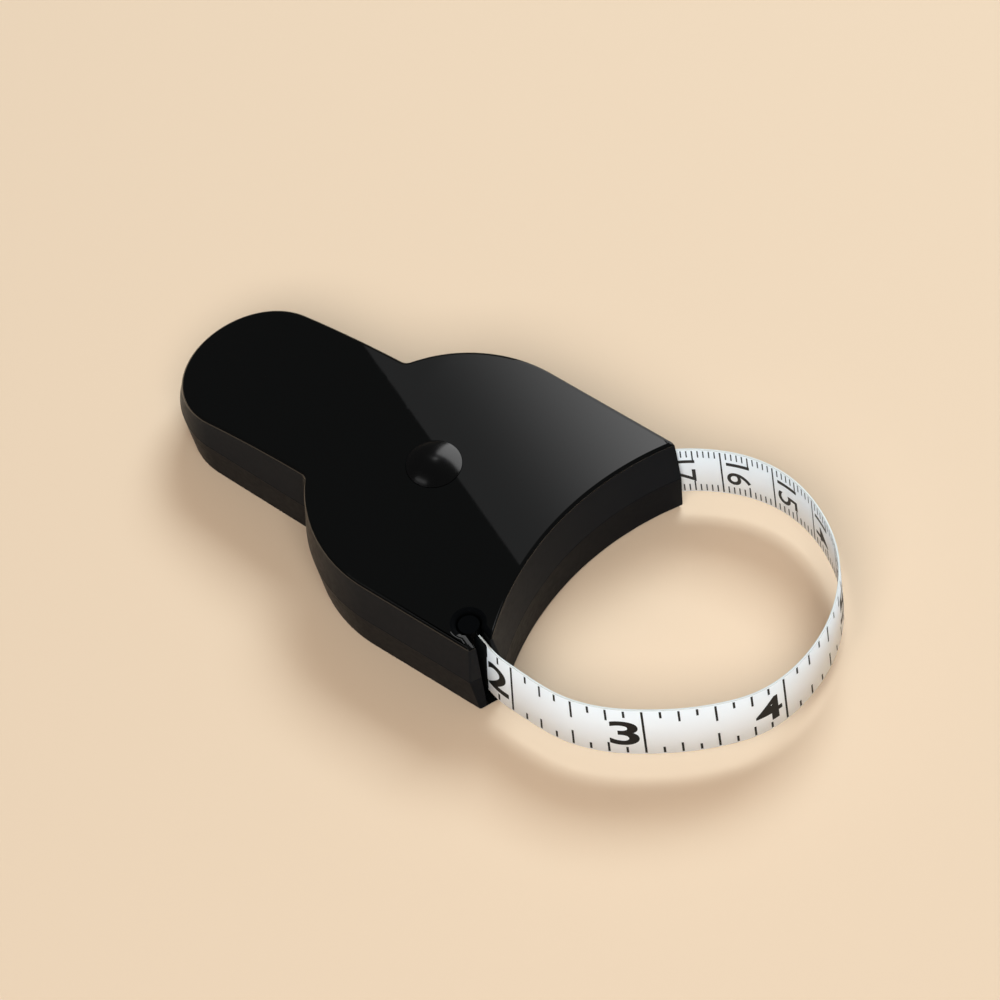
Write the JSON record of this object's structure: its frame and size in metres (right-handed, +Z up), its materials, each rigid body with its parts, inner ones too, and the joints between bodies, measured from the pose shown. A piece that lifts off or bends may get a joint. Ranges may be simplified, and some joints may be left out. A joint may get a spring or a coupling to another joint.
{
  "type": "retractable body tape measure",
  "caption": "Waisted hand-held case with a saddle front; a spring-wound printed tape loops out of one horn and pins into a slot in the other, with a push-button release.",
  "frame": {"origin": "on the base plane, under the push button, on the spool's axis", "axes": "+X from the handle towards the horns, +Y towards the horn the tape comes out of, +Z up through the button"},
  "size_m": [0.1323, 0.062, 0.0218],
  "materials": {
    "case": "moulded black, semi-gloss",
    "nylon": "moulded natural nylon",
    "spring_steel": "bare spring steel",
    "tape": "white vinyl-coated fibreglass cloth, black print",
    "screw": "zinc plated"
  },
  "bodies": {
    "case": {"top_shell": "case", "bottom_shell": "case", "mainspring": "spring_steel", "button_spring": "spring_steel", "tape_run": "tape", "tape_loop": "tape", "case_screw_handle": "screw", "case_screw_near_horn": "screw", "case_screw_far_horn": "screw"},
    "button": {"push_button": "case", "brake_ring": "nylon"},
    "spool": {"spool": "nylon", "spool_cover": "nylon", "tape_winding": "tape"},
    "pin": {"lock_pin": "case", "tape_end": "tape"}
  },
  "joints": [
    {"name": "button_press", "type": "slide", "parent": "case", "child": "button", "axis": [0, 0, -1], "range_m": [0, 0.0016], "stiffness_N_per_m": 800, "springref_m": -0.001, "deforming": ["button_spring"]},
    {"name": "spool_turn", "type": "hinge", "parent": "case", "child": "spool", "pos_m": [0, 0, 0.009], "axis": [0, 0, 1], "range_deg": [-4620, 500], "deforming": ["mainspring"]},
    {"name": "pin_lift", "type": "slide", "parent": "case", "child": "pin", "axis": [0, 0, 1], "range_m": [0, 0.019], "deforming": ["tape_loop"]}
  ]
}
